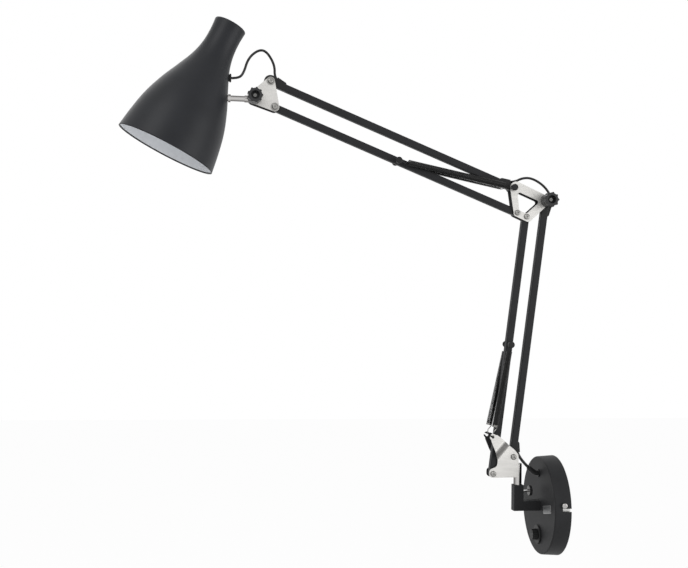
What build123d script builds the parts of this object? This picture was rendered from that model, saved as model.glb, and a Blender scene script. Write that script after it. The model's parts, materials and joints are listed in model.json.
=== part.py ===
"""Articulating wall lamp with two sprung parallelogram arms, in millimetres.

The origin is the centre of the canopy on the wall. The wall is the plane Y = 0, the lamp reaches
towards -Y, +Z is up, and both arms lie in the plane X = 0. "Near" is the +X side, "far" the -X side.
"""

import os
from math import cos, pi, radians, sin, sqrt, tan

from build123d import *

os.makedirs("parts", exist_ok=True)

# ---------------------------------------------------------------- driving dimensions
# pivots, as (Y, Z) in the plane of the arms
swivel_y = -55.0
lower_rear_pivot = (-63.4, 70.5)
lower_front_pivot = (-93.5, 46.6)
mid_rear_pivot = (-17.3, 440.0)
mid_top_pivot = (-67.5, 457.5)
mid_bottom_pivot = (-61.3, 421.5)
head_top_pivot = (-420.5, 595.7)
tilt_pivot = (-443.2, 571.3)
rod_z = 570.2

# square tubes
tube = 10.0
tube_wall = 1.0
tube_corner = 1.2
bore_corner = 0.5
end_reach = 9.0
head_end_past = 3.2
hooded_reach = 24.0
spigot_length = 12.0
spigot_fit = 0.05

# bracket plates
sheet = 1.5
plate_gap = 11.6
pivot_play = 0.05
window_corner = 3.0

# fasteners
screw_r = 2.0
screw_head_r = 4.0
screw_head_h = 2.6
recess_r = 1.3
recess_depth = 1.2
nut_flats = 7.0
nut_h = 3.2
bolt_r = 2.5
bolt_head_r = 4.6
spacer_r = 4.8
head_washer_r = 5.7
head_washer_t = 0.8

# star knobs
knob_base_r = 9.5
knob_base_h = 10.0
knob_waist_r = 8.6
knob_crown_r = 9.4
knob_crown_h = 11.6
knob_nub_r = 1.7
knob_nubs = 9
knob_well_r = 6.0
knob_well_depth = 8.0
knob_gap = 0.6
knob_grip = 17.0
knob_air = 0.3

# springs and their cross pins
pin_r = 2.0
cap_r = 4.75
cap_t = 4.0
cap_centre = 13.25
spring_pin_x = 9.6
spring_hook_x = 15.0
spring_od = 8.8
spring_wire = 1.6
spring_sides = 6
lower_curls = 22
upper_curls = 28
lower_body = 109.0
upper_body = 145.0
lower_lead_share = 0.574
upper_lead_share = 0.5
wire_clearance = 0.2

# spring hooks on the lower plates
hook_centre = (-97.0, 100.0)
hook_hole_r = 2.2
hook_ring_r = 4.6
hook_slot = 2.2
joggle_start = 17.0
joggle_run = 9.0

# wall canopy and strap
canopy_wall_r = 71.0
canopy_taper = 1.5
canopy_depth = 23.4
canopy_sheet = 1.2
canopy_edge = 2.0
slot_width = 4.4
slot_z = 4.8
slot_depth = 12.4
side_screw_z = 11.0
side_screw_r = 2.0
side_screw_head_r = 3.9
side_screw_head_h = 2.2
side_screw_end = 1.2
strap_width = 34.0
strap_sheet = 1.5
strap_gap = 0.3
tab_length = 16.0
fixing_spacing = 60.0
fixing_slot_r = 2.5
fixing_slot_length = 8.0
terminal_size = (32.0, 9.5, 16.0)

# elbow bracket and swivel
elbow_size = 14.0
elbow_top = 30.0
stem_r = 5.0
stem_end = -14.5
stem_nut_flats = 15.0
stem_nut_h = 5.0
swivel_r = 5.8
swivel_top = 60.8
shank_r = 4.0
shank_length = 26.0
swivel_play = 0.06
thumb_z = 21.0
thumb_stud_r = 2.0
thumb_r = 7.2
thumb_t = 4.0
thumb_y = -38.5

# switch and cord inlet on the canopy face
switch_z = -42.0
switch_ring_r = 13.5
switch_ring_t = 2.6
switch_body_r = 10.5
switch_body_depth = 13.0
switch_shaft_r = 3.0
switch_knob_r = 8.0
switch_knob_h = 7.4
switch_grips = 10
inlet_z = 46.0
inlet_r = 3.4
inlet_neck_r = 2.9
inlet_flange_r = 5.5

# head rod, shade and lamp holder
rod_r = 4.0
rod_eye_r = 6.6
rod_neck_r = 4.9
rod_neck_reach = 13.0
shade_cap = (-476.6, 672.8)
shade_tilt = 26.1
shade_sheet = 1.2
shade_cap_edge = 2.5
shade_profile = ((0.0, 23.2), (20.0, 22.2), (40.0, 23.5), (60.0, 28.4), (85.0, 38.9), (110.0, 50.2),
                 (140.0, 60.7), (170.0, 67.0), (197.3, 71.0))
collar_r = 5.6
collar_t = 3.4
rod_nut_flats = 12.0
rod_nut_h = 5.0
grommet_z = 598.4
grommet_r = 6.0
holder_start = 52.0
holder_cap_length = 26.0
holder_skirt = 27.0
holder_cap_r = 15.0
holder_skirt_r = 19.0
holder_bore_r = 13.4
holder_bore = 24.0
well_r = 6.0
well_depth = 4.5
contact_width = 5.0
contact_t = 0.6
contact_rise = 3.8
nipple_r = 5.0
nipple_bore_r = 3.5

# cord
cord_r = 1.75
cord_room = 0.35
hood_mouth = 7.5
hood_end = 22.0
hood_height = 4.4
hood_low = 1.9
hood_width = 8.4
cord_rise = 6.6
cord_sink = 0.8
inner_bend = 12.0


# ---------------------------------------------------------------- small helpers
def save(builder, name):
    """Labels a finished piece and writes its file."""
    builder.part.label = name
    export_step(builder.part, f"parts/{name}.step")


def along(p, q, share):
    """The point at a share of the way from p to q."""
    return (p[0] + (q[0] - p[0]) * share, p[1] + (q[1] - p[1]) * share)


def shifted(p, vector):
    return (p[0] + vector[0], p[1] + vector[1])


def distance(p, q):
    return sqrt((q[0] - p[0]) ** 2 + (q[1] - p[1]) ** 2)


def side_plane(x=0.0):
    """A plane square to X whose local axes are Y and Z."""
    return Plane(origin=(x, 0, 0), x_dir=(0, 1, 0), z_dir=(1, 0, 0))


def bar_plane(p, q, facing=1):
    """Local x runs from pivot p to pivot q, local z is +X, or -X where facing is -1."""
    return Plane(origin=(0, *p), x_dir=(0, q[0] - p[0], q[1] - p[1]), z_dir=(facing, 0, 0))


def face_plane(y, x=0.0, z=0.0):
    """A plane square to Y at this depth, looking out of the wall, with local x along +X."""
    return Plane(origin=(x, y, z), x_dir=(1, 0, 0), z_dir=(0, -1, 0))


# the spacing between the two bars of each arm, which makes both arms exact parallelograms
lower_spacing = (lower_front_pivot[0] - lower_rear_pivot[0], lower_front_pivot[1] - lower_rear_pivot[1])
upper_spacing = (mid_bottom_pivot[0] - mid_top_pivot[0], mid_bottom_pivot[1] - mid_top_pivot[1])
mid_front_pivot = shifted(mid_rear_pivot, lower_spacing)
head_bottom_pivot = shifted(head_top_pivot, upper_spacing)
lower_pin = along(lower_front_pivot, mid_front_pivot, 0.5)
upper_pin = along(mid_bottom_pivot, head_bottom_pivot, 0.5)

plate_inner = plate_gap / 2
plate_outer = plate_inner + sheet
spacer_t = plate_inner - tube / 2 - 2 * pivot_play
NEAR_FAR = (("near", 1), ("far", -1))


# ---------------------------------------------------------------- round bars along bent routes
def corner_radii(points, limit=None):
    """The largest radius for each corner that leaves a straight stretch in every run."""
    radii = []
    for before, corner, after in zip(points, points[1:], points[2:]):
        arriving = Vector(0, *corner) - Vector(0, *before)
        leaving = Vector(0, *after) - Vector(0, *corner)
        half_turn = radians(arriving.get_angle(leaving)) / 2
        radius = 0.45 * min(arriving.length, leaving.length) / tan(half_turn)
        radii.append(min(radius, limit) if limit else radius)
    return radii


def swept_round(points, radii, section_r, mode=Mode.ADD):
    """A round bar swept along straight runs joined by tangent arcs, in the block around."""
    with BuildLine() as route:
        FilletPolyline(*[(0, *point) for point in points], radius=radii)
    path = route.wire()
    with BuildSketch(Plane(origin=path @ 0, z_dir=path % 0)) as section:
        Circle(section_r)
    sweep(section.sketch, path=path, mode=mode)
    return path


# ---------------------------------------------------------------- square tubes and their ends
def bar_end(plane, reach, hole_r, hooded, past):
    """The rounded plastic end whose pivot is the plane's origin and whose bar runs along +x."""
    spigot = tube - 2 * tube_wall - 2 * spigot_fit
    with BuildPart() as end:
        with BuildSketch(plane) as outline:
            with Locations((-past, 0)):
                Circle(tube / 2)
                Rectangle(past + reach, tube, align=(Align.MIN, Align.CENTER))
        extrude(outline.sketch, amount=tube / 2, both=True)
        fillet([edge for edge in end.edges() if on_rim(edge, plane, reach)], tube_corner)
        seam = plane.from_local_coords(Vector(reach, 0, 0))
        with BuildSketch(Plane(origin=seam, x_dir=(1, 0, 0), z_dir=plane.x_dir)) as plug:
            RectangleRounded(spigot, spigot, bore_corner)
        extrude(plug.sketch, amount=spigot_length)
        if hooded:
            add_hood(plane)
        with BuildSketch(plane) as bore:
            Circle(hole_r + pivot_play)
        extrude(bore.sketch, amount=tube, both=True, mode=Mode.SUBTRACT)
    return end.part


def on_rim(edge, plane, reach):
    """Whether an edge bounds a side face of the end, apart from the cut that meets the tube."""
    middle = plane.to_local_coords(edge.center())
    return abs(abs(middle.Z) - tube / 2) < 0.01 and middle.X < reach - 0.5


def add_hood(plane):
    """The wedge over the cord's exit, open towards the pivot, and the cord's way in through it."""
    top = tube / 2
    with BuildSketch(plane) as hood:
        with BuildLine():
            Polyline((hood_mouth, top - 1), (hood_mouth, top + hood_height),
                     (hood_end - 1.5, top + hood_low), (hood_end, top + hood_low - 1.2), (hood_end, top - 1),
                     close=True)
        make_face()
    extrude(hood.sketch, amount=hood_width / 2, both=True)
    slope = Vector(hood_end - hood_mouth, cord_sink - cord_rise, 0).normalized()
    spots = [plane.from_local_coords(spot)
             for spot in (Vector(hood_mouth, cord_rise, 0) - slope * 1.5, Vector(hood_end, cord_sink, 0),
                          Vector(hooded_reach + spigot_length + 1, cord_sink, 0))]
    swept_round([(spot.Y, spot.Z) for spot in spots], [inner_bend], cord_r + cord_room, Mode.SUBTRACT)


def bar_ends(name, p, q, hole_radii, hooded=False, past=0.0):
    """Both plastic ends of the bar from p to q, with any hoods on the +y side of its plane."""
    reach = hooded_reach if hooded else end_reach
    first = bar_end(bar_plane(p, q), reach, hole_radii[0], hooded, past)
    second = bar_end(bar_plane(q, p, -1), reach, hole_radii[1], hooded, 0.0)
    with BuildPart() as ends:
        add(first)
        add(second)
    save(ends, name)


def square_tube(name, p, q, hooded=False, pin=None):
    """The steel tube between the two ends of a bar, with a bore for a spring's cross pin."""
    reach = hooded_reach if hooded else end_reach
    plane = bar_plane(p, q)
    start = plane.from_local_coords(Vector(reach, 0, 0))
    with BuildPart() as steel:
        with BuildSketch(Plane(origin=start, x_dir=(1, 0, 0), z_dir=plane.x_dir)) as section:
            RectangleRounded(tube, tube, tube_corner)
            RectangleRounded(tube - 2 * tube_wall, tube - 2 * tube_wall, bore_corner, mode=Mode.SUBTRACT)
        extrude(section.sketch, amount=distance(p, q) - 2 * reach)
        if pin:
            with BuildSketch(side_plane()) as bore:
                with Locations(pin):
                    Circle(pin_r + spigot_fit)
            extrude(bore.sketch, amount=tube, both=True, mode=Mode.SUBTRACT)
    save(steel, name)


square_tube("lower_rear_tube", mid_rear_pivot, lower_rear_pivot, hooded=True)
bar_ends("lower_rear_ends", mid_rear_pivot, lower_rear_pivot, (bolt_r, screw_r), hooded=True)
square_tube("lower_front_tube", mid_front_pivot, lower_front_pivot, pin=lower_pin)
bar_ends("lower_front_ends", mid_front_pivot, lower_front_pivot, (screw_r, screw_r))
square_tube("upper_top_tube", head_top_pivot, mid_top_pivot, hooded=True)
bar_ends("upper_top_ends", head_top_pivot, mid_top_pivot, (screw_r, pin_r), hooded=True, past=head_end_past)
square_tube("upper_bottom_tube", head_bottom_pivot, mid_bottom_pivot, pin=upper_pin)
bar_ends("upper_bottom_ends", head_bottom_pivot, mid_bottom_pivot, (screw_r, screw_r))


# ---------------------------------------------------------------- screws, bolts, spacers and pins
def pan_screws(name, places, head_seat, washer_t=0.0):
    """Pan-head screws along X from the near plate, with a hex nut outside the far plate."""
    with BuildPart() as screws:
        with BuildSketch(side_plane(-plate_outer - washer_t - nut_h - 1.0)) as shanks:
            with Locations(*places):
                Circle(screw_r)
        extrude(shanks.sketch, amount=plate_outer + washer_t + nut_h + 1.0 + head_seat)
        with BuildSketch(side_plane(head_seat)) as heads:
            with Locations(*places):
                Circle(screw_head_r)
        extrude(heads.sketch, amount=screw_head_h)
        top = screws.edges().filter_by(GeomType.CIRCLE).group_by(Axis.X)[-1]
        fillet(top, screw_head_h * 0.6)
        with BuildSketch(side_plane(head_seat + screw_head_h)) as recess:
            with Locations(*places):
                Rectangle(2 * recess_r, recess_r * 0.6)
                Rectangle(recess_r * 0.6, 2 * recess_r)
        extrude(recess.sketch, amount=-recess_depth, mode=Mode.SUBTRACT)
        with BuildSketch(side_plane(-plate_outer - washer_t)) as nuts:
            with Locations(*places):
                RegularPolygon(nut_flats / 2, 6, major_radius=False)
        extrude(nuts.sketch, amount=-nut_h)
    save(screws, name)


def spacers(name, places, hole_radii, washers=()):
    """Thin spacer rings between the plates and the bars, and washers under screw heads and nuts."""
    with BuildPart() as rings:
        for place, hole_r in zip(places, hole_radii):
            for seat, amount in ((plate_inner, -spacer_t), (-plate_inner, spacer_t)):
                with BuildSketch(side_plane(seat)) as ring:
                    with Locations(place):
                        Circle(spacer_r)
                        Circle(hole_r + pivot_play, mode=Mode.SUBTRACT)
                extrude(ring.sketch, amount=amount)
        for place in washers:
            for seat, amount in ((plate_outer, head_washer_t), (-plate_outer, -head_washer_t)):
                with BuildSketch(side_plane(seat)) as washer:
                    with Locations(place):
                        Circle(head_washer_r)
                        Circle(screw_r + pivot_play, mode=Mode.SUBTRACT)
                extrude(washer.sketch, amount=amount)
    save(rings, name)


def knob_bolt(name, place):
    """The bolt under a star knob: a low domed head outside the far plate and a stud into the knob."""
    with BuildPart() as bolt:
        with BuildSketch(side_plane(-plate_outer)) as stud:
            with Locations(place):
                Circle(bolt_r)
        extrude(stud.sketch, amount=2 * plate_outer + knob_air + knob_grip)
        with BuildSketch(side_plane(-plate_outer)) as head:
            with Locations(place):
                Circle(bolt_head_r)
        extrude(head.sketch, amount=-screw_head_h)
        rim = bolt.edges().filter_by(GeomType.CIRCLE).group_by(Axis.X)[0]
        fillet(rim, screw_head_h * 0.6)
    save(bolt, name)


def star_knob(name, place):
    """A clamping knob outside the near plate: a round foot and a nubbed crown with a well in its face."""
    seat = plate_outer + knob_air
    crown_seat = seat + knob_base_h + knob_gap
    crown_face = crown_seat + knob_crown_h
    with BuildPart() as knob:
        with BuildSketch(side_plane(seat)) as foot:
            with Locations(place):
                Circle(knob_base_r)
        extrude(foot.sketch, amount=knob_base_h)
        chamfer(knob.edges().group_by(Axis.X)[-1], 0.8)
        with BuildSketch(side_plane(seat)) as waist:
            with Locations(place):
                Circle(knob_waist_r)
        extrude(waist.sketch, amount=crown_face - seat)
        with BuildSketch(side_plane(crown_seat)) as crown:
            with Locations(place):
                Circle(knob_crown_r)
                with PolarLocations(knob_crown_r - 0.2, knob_nubs):
                    Circle(knob_nub_r)
        extrude(crown.sketch, amount=knob_crown_h)
        chamfer(knob.faces().sort_by(Axis.X)[-1].edges(), 0.5)
        with BuildSketch(side_plane(crown_face)) as well:
            with Locations(place):
                Circle(knob_well_r)
        extrude(well.sketch, amount=-knob_well_depth, mode=Mode.SUBTRACT)
        with BuildSketch(side_plane(seat)) as bore:
            with Locations(place):
                Circle(bolt_r + pivot_play)
        extrude(bore.sketch, amount=crown_face - seat, mode=Mode.SUBTRACT)
    save(knob, name)


def spring_pin(name, place):
    """A cross pin that carries a spring on each side of its bar."""
    reach = cap_centre + cap_t / 2 - 1.0
    with BuildPart() as pin:
        with BuildSketch(side_plane(-reach)) as section:
            with Locations(place):
                Circle(pin_r)
        extrude(section.sketch, amount=2 * reach)
    save(pin, name)


def pin_caps(name, place):
    """The round push-on caps at both ends of a spring pin."""
    with BuildPart() as caps:
        for side in (1, -1):
            inner = side * (cap_centre - cap_t / 2)
            with BuildSketch(side_plane(inner)) as cap:
                with Locations(place):
                    Circle(cap_r)
            extrude(cap.sketch, amount=side * cap_t)
            fillet(caps.edges(Select.LAST).sort_by(lambda edge: -abs(edge.center().X))[0], 1.2)
            with BuildSketch(side_plane(inner)) as blind_hole:
                with Locations(place):
                    Circle(pin_r)
            extrude(blind_hole.sketch, amount=side * (cap_t - 1.0), mode=Mode.SUBTRACT)
    save(caps, name)


pan_screws("lower_cross_screws", (lower_rear_pivot, lower_front_pivot), plate_outer)
spacers("lower_spacers", (lower_rear_pivot, lower_front_pivot), (screw_r, screw_r))
pan_screws("mid_cross_screws", (mid_front_pivot, mid_bottom_pivot), plate_outer)
spacers("mid_spacers", (mid_rear_pivot, mid_front_pivot, mid_top_pivot, mid_bottom_pivot),
        (bolt_r, screw_r, pin_r, screw_r))
pan_screws("head_cross_screws", (head_top_pivot, head_bottom_pivot), plate_outer + head_washer_t,
           head_washer_t)
spacers("head_spacers", (head_top_pivot, head_bottom_pivot), (screw_r, screw_r),
        (head_top_pivot, head_bottom_pivot))
knob_bolt("mid_knob_bolt", mid_rear_pivot)
star_knob("mid_knob", mid_rear_pivot)
knob_bolt("head_knob_bolt", tilt_pivot)
star_knob("head_knob", tilt_pivot)
for pin_name, pin_place in (("lower_spring_pin", lower_pin), ("mid_spring_pin", mid_top_pivot),
                            ("upper_spring_pin", upper_pin)):
    spring_pin(pin_name, pin_place)
    pin_caps(f"{pin_name}_caps", pin_place)


# ---------------------------------------------------------------- bracket plates
def rounded_outline(corners, radii):
    """A flat outline through these corners, each rounded by its own radius."""
    with BuildSketch() as outline:
        Polygon(*corners, align=None)
        for corner, corner_r in zip(corners, radii):
            fillet(outline.vertices().sort_by_distance(Vector(*corner))[0], corner_r)
    return outline.sketch


def bore_plate(places):
    """Cuts round holes, given as (place, radius), through a plate in the block around."""
    for place, hole_r in places:
        with BuildSketch(side_plane()) as hole:
            with Locations(place):
                Circle(hole_r)
        extrude(hole.sketch, amount=2 * spring_hook_x, both=True, mode=Mode.SUBTRACT)


# each mid plate reaches past its four pivots and is open in the middle
mid_outline = ((-74.9, 472.2), (-6.8, 442.7), (-44.0, 407.6), (-66.6, 417.3))
mid_outline_corners = (9.0, 6.5, 6.0, 4.5)
mid_window = ((-61.5, 452.2), (-27.8, 438.4), (-47.8, 420.4), (-59.0, 425.0))
head_plate_radii = ((head_top_pivot, 5.8), (head_bottom_pivot, 6.4), (tilt_pivot, 8.5))

for side_name, side in NEAR_FAR:
    with BuildPart() as mid_plate:
        with BuildSketch(side_plane(side * plate_inner)) as outline:
            add(rounded_outline(mid_outline, mid_outline_corners))
            add(rounded_outline(mid_window, [window_corner] * len(mid_window)), mode=Mode.SUBTRACT)
        extrude(amount=side * sheet)
        bore_plate(((mid_rear_pivot, bolt_r + pivot_play), (mid_front_pivot, screw_r + pivot_play),
                    (mid_top_pivot, pin_r + pivot_play), (mid_bottom_pivot, screw_r + pivot_play)))
    save(mid_plate, f"mid_plate_{side_name}")

    with BuildPart() as head_plate:
        with BuildSketch(side_plane(side * plate_inner)) as hull:
            for place, corner_r in head_plate_radii:
                with Locations(place):
                    Circle(corner_r)
            make_hull()
        extrude(amount=side * sheet)
        bore_plate(((head_top_pivot, screw_r + pivot_play), (head_bottom_pivot, screw_r + pivot_play),
                    (tilt_pivot, bolt_r + pivot_play)))
    save(head_plate, f"head_plate_{side_name}")

# the lower plates: the flat stands on the swivel pin, the arm steps outward and ends in an open hook
lower_outline = ((-55.9, 41.3), (-56.3, 73.5), (-62.0, 80.5), (-90.8, 103.0), (-101.0, 103.0),
                 (-99.0, 93.0), (-87.0, 65.0), (-88.5, 57.0), (-99.5, 52.5), (-99.5, 41.0))
lower_outline_corners = (0.8, 6.0, 5.0, 3.0, 4.5, 2.0, 7.0, 5.0, 5.0, 5.0)
hook_direction = (hook_centre[0] - lower_rear_pivot[0], hook_centre[1] - lower_rear_pivot[1])
joggle_out = spring_hook_x - plate_inner - sheet / 2
hook_length = distance(hook_centre, lower_rear_pivot)


def joggled_section(side):
    """The plate seen edge on along its hook arm: flat, a slanted step outward, and flat again."""
    inner = side * plate_inner
    step = side * joggle_out
    skin = side * sheet
    far_start = -2 * hook_length
    far_end = 2 * hook_length
    slant = joggle_start + joggle_run
    with BuildSketch(Plane(origin=(0, *lower_rear_pivot), x_dir=(0, *hook_direction),
                           z_dir=(0, hook_direction[1], -hook_direction[0]))) as section:
        with BuildLine():
            Polyline((far_start, inner), (joggle_start, inner), (slant, inner + step),
                     (far_end, inner + step), (far_end, inner + step + skin),
                     (slant - 0.6, inner + step + skin), (joggle_start - 0.6, inner + skin),
                     (far_start, inner + skin), close=True)
        make_face()
    return section.sketch


for side_name, side in NEAR_FAR:
    with BuildPart() as lower_plate:
        with BuildSketch(side_plane(side * plate_inner)) as outline:
            add(rounded_outline(lower_outline, lower_outline_corners))
            with Locations(hook_centre):
                Circle(hook_ring_r)
                Circle(hook_hole_r, mode=Mode.SUBTRACT)
                Rectangle(3 * hook_ring_r, hook_slot, rotation=-25, align=(Align.MAX, Align.CENTER),
                          mode=Mode.SUBTRACT)
        extrude(amount=side * (joggle_out + sheet))
        extrude(joggled_section(side), amount=3 * hook_length, both=True, mode=Mode.INTERSECT)
        bore_plate(((lower_rear_pivot, screw_r + pivot_play), (lower_front_pivot, screw_r + pivot_play)))
    save(lower_plate, f"lower_plate_{side_name}")


# ---------------------------------------------------------------- wall canopy, strap and what they carry
canopy_face_r = canopy_wall_r - canopy_taper
with BuildPart() as wall_canopy:
    with BuildSketch(Plane.XY) as cup:
        with BuildLine() as cup_line:
            Polyline((0, -canopy_depth), (canopy_face_r, -canopy_depth), (canopy_wall_r, 0),
                     (canopy_wall_r - canopy_sheet, 0),
                     (canopy_face_r - canopy_sheet, -canopy_depth + canopy_sheet),
                     (0, -canopy_depth + canopy_sheet), close=True)
        make_face()
        outer_corner = cup.vertices().sort_by_distance(Vector(canopy_face_r, -canopy_depth, 0))[0]
        fillet(outer_corner, canopy_edge)
        inner_corner = cup.vertices().sort_by_distance(
            Vector(canopy_face_r - canopy_sheet, -canopy_depth + canopy_sheet, 0))[0]
        fillet(inner_corner, canopy_edge - canopy_sheet)
    revolve(axis=Axis.Y)
    for turn in (0, 180):
        with BuildSketch(Plane.YZ.rotated((0, turn, 0))) as bayonet:
            with Locations((-slot_depth / 2 + 1, slot_z)):
                Rectangle(slot_depth + 2, slot_width)
            with Locations((-slot_depth + slot_width / 2, (slot_z + side_screw_z) / 2)):
                Rectangle(slot_width, side_screw_z - slot_z)
            with Locations((-slot_depth + slot_width / 2, side_screw_z)):
                Circle(slot_width / 2)
        extrude(bayonet.sketch, amount=canopy_wall_r + 5, mode=Mode.SUBTRACT)
    for hole_z, hole_r in ((0, stem_r), (inlet_z, inlet_neck_r), (switch_z, switch_body_r)):
        with BuildSketch(face_plane(-canopy_depth + canopy_sheet + 1, z=hole_z)) as hole:
            Circle(hole_r + spigot_fit)
        extrude(hole.sketch, amount=canopy_sheet + 2, mode=Mode.SUBTRACT)
save(wall_canopy, "wall_canopy")

side_screw_y = -slot_depth + slot_width / 2
strap_reach = canopy_face_r - canopy_sheet - strap_gap
strap_half = sqrt(strap_reach**2 - (strap_width / 2) ** 2)
with BuildPart() as wall_strap:
    with BuildSketch(Plane.XY) as channel:
        with Locations((0, -strap_sheet / 2)):
            Rectangle(2 * strap_half, strap_sheet)
        for side in (1, -1):
            with Locations((side * (strap_half - strap_sheet / 2), -tab_length / 2)):
                Rectangle(strap_sheet, tab_length)
    extrude(channel.sketch, amount=strap_width / 2, both=True)
    with BuildSketch(face_plane(1)) as fixing_slots:
        with Locations((fixing_spacing / 2, 0), (-fixing_spacing / 2, 0)):
            SlotCenterToCenter(fixing_slot_length, 2 * fixing_slot_r)
    extrude(fixing_slots.sketch, amount=strap_sheet + 2, mode=Mode.SUBTRACT)
    for side in (1, -1):
        with BuildSketch(side_plane()) as tapped:
            with Locations((side_screw_y, side * side_screw_z)):
                Circle(side_screw_r)
        extrude(tapped.sketch, amount=side * canopy_wall_r, mode=Mode.SUBTRACT)
save(wall_strap, "wall_strap")

side_screw_seat = sqrt(canopy_wall_r**2 - (side_screw_z - side_screw_head_r) ** 2)
side_screw_length = side_screw_seat - strap_half + strap_sheet + side_screw_end
with BuildPart() as side_screws:
    for side in (1, -1):
        with BuildSketch(side_plane(side * side_screw_seat)) as shank:
            with Locations((side_screw_y, side * side_screw_z)):
                Circle(side_screw_r)
        extrude(shank.sketch, amount=-side * side_screw_length)
        with BuildSketch(side_plane(side * side_screw_seat)) as head:
            with Locations((side_screw_y, side * side_screw_z)):
                Circle(side_screw_head_r)
        extrude(head.sketch, amount=side * side_screw_head_h)
        fillet(side_screws.edges(Select.LAST).sort_by(lambda edge: -abs(edge.center().X))[0], 1.2)
save(side_screws, "side_screws")

with BuildPart() as terminal_block:
    with BuildSketch(face_plane(-strap_sheet)) as foot:
        Rectangle(terminal_size[0], terminal_size[2])
    extrude(foot.sketch, amount=terminal_size[1])
    with BuildSketch(face_plane(-strap_sheet - terminal_size[1])) as wells:
        with GridLocations(terminal_size[0] / 3, terminal_size[2] / 2, 3, 2):
            Circle(1.8)
    extrude(wells.sketch, amount=-3.0, mode=Mode.SUBTRACT)
save(terminal_block, "terminal_block")

half = elbow_size / 2
with BuildPart() as elbow_bracket:
    with BuildSketch(side_plane()) as elbow_side:
        with BuildLine():
            Polyline((-canopy_depth, -half), (swivel_y - half, -half), (swivel_y - half, elbow_top),
                     (swivel_y + half, elbow_top), (swivel_y + half, half), (-canopy_depth, half), close=True)
        make_face()
    extrude(elbow_side.sketch, amount=half, both=True)
    chamfer(elbow_bracket.edges().filter_by(Axis.Y), 0.6)
    chamfer(elbow_bracket.edges().filter_by(Axis.Z).sort_by(Axis.Y)[:2], 0.6)
    with BuildSketch(face_plane(stem_end)) as stem:
        Circle(stem_r)
    extrude(stem.sketch, amount=canopy_depth + stem_end + 1)
    with BuildSketch(Plane(origin=(0, swivel_y, elbow_top + 1))) as socket:
        Circle(shank_r + swivel_play)
    extrude(socket.sketch, amount=-shank_length - 2, mode=Mode.SUBTRACT)
    with BuildSketch(face_plane(swivel_y + half + 1, z=thumb_z)) as thumb_hole:
        Circle(thumb_stud_r + pivot_play)
    extrude(thumb_hole.sketch, amount=half + 1, mode=Mode.SUBTRACT)
save(elbow_bracket, "elbow_bracket")

with BuildPart() as elbow_nut:
    with BuildSketch(face_plane(-canopy_depth + canopy_sheet)) as nut_outline:
        RegularPolygon(stem_nut_flats / 2, 6, major_radius=False)
        Circle(stem_r, mode=Mode.SUBTRACT)
    extrude(nut_outline.sketch, amount=-stem_nut_h)
save(elbow_nut, "elbow_nut")

with BuildPart() as swivel_pin:
    with BuildSketch(Plane(origin=(0, swivel_y, elbow_top + pivot_play))) as pin_body:
        Circle(swivel_r)
    extrude(pin_body.sketch, amount=swivel_top - elbow_top)
    chamfer(swivel_pin.edges().sort_by(Axis.Z)[-1], 1.0)
    with BuildSketch(Plane(origin=(0, swivel_y, elbow_top + 1))) as shank_section:
        Circle(shank_r)
    extrude(shank_section.sketch, amount=-shank_length)
    with BuildSketch(Plane(origin=(0, swivel_y, thumb_z - thumb_stud_r - 0.5))) as groove:
        Circle(shank_r + 1)
        Circle(shank_r - 0.8, mode=Mode.SUBTRACT)
    extrude(groove.sketch, amount=2 * thumb_stud_r + 1, mode=Mode.SUBTRACT)
save(swivel_pin, "swivel_pin")

with BuildPart() as thumb_screw:
    with BuildSketch(face_plane(thumb_y + 0.5, z=thumb_z)) as stud:
        Circle(thumb_stud_r)
    extrude(stud.sketch, amount=thumb_y + 0.5 - (swivel_y + shank_r - 0.6))
    with BuildSketch(face_plane(thumb_y + thumb_t, z=thumb_z)) as disc:
        Circle(thumb_r)
        with PolarLocations(thumb_r + 0.3, 16):
            Circle(0.8, mode=Mode.SUBTRACT)
    extrude(disc.sketch, amount=thumb_t)
save(thumb_screw, "thumb_screw")

face_y = -canopy_depth
with BuildPart() as switch_body:
    with BuildSketch(face_plane(face_y, z=switch_z)) as ring:
        Circle(switch_ring_r)
    extrude(ring.sketch, amount=switch_ring_t)
    fillet(switch_body.edges().sort_by(Axis.Y)[0], 0.8)
    with BuildSketch(face_plane(face_y, z=switch_z)) as barrel:
        Circle(switch_body_r)
    extrude(barrel.sketch, amount=-switch_body_depth)
    with BuildSketch(face_plane(face_y - switch_ring_t, z=switch_z)) as shaft_hole:
        Circle(switch_shaft_r + pivot_play)
    extrude(shaft_hole.sketch, amount=-switch_ring_t - 5, mode=Mode.SUBTRACT)
save(switch_body, "switch_body")

with BuildPart() as switch_knob:
    knob_seat = face_y - switch_ring_t - knob_air
    with BuildSketch(face_plane(knob_seat, z=switch_z)) as knob_round:
        Circle(switch_knob_r)
        with PolarLocations(switch_knob_r + 0.5, switch_grips):
            Circle(1.1, mode=Mode.SUBTRACT)
    extrude(knob_round.sketch, amount=switch_knob_h, taper=3)
    with BuildSketch(face_plane(knob_seat - switch_knob_h, z=switch_z)) as pointer:
        with Locations((0, switch_knob_r / 2)):
            Rectangle(1.2, switch_knob_r * 0.6)
    extrude(pointer.sketch, amount=-0.5, mode=Mode.SUBTRACT)
    with BuildSketch(face_plane(knob_seat, z=switch_z)) as shaft:
        Circle(switch_shaft_r)
    extrude(shaft.sketch, amount=-switch_ring_t - 3)
save(switch_knob, "switch_knob")


# ---------------------------------------------------------------- head rod and shade
axis_y = sin(radians(shade_tilt))
axis_z = cos(radians(shade_tilt))


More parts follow.
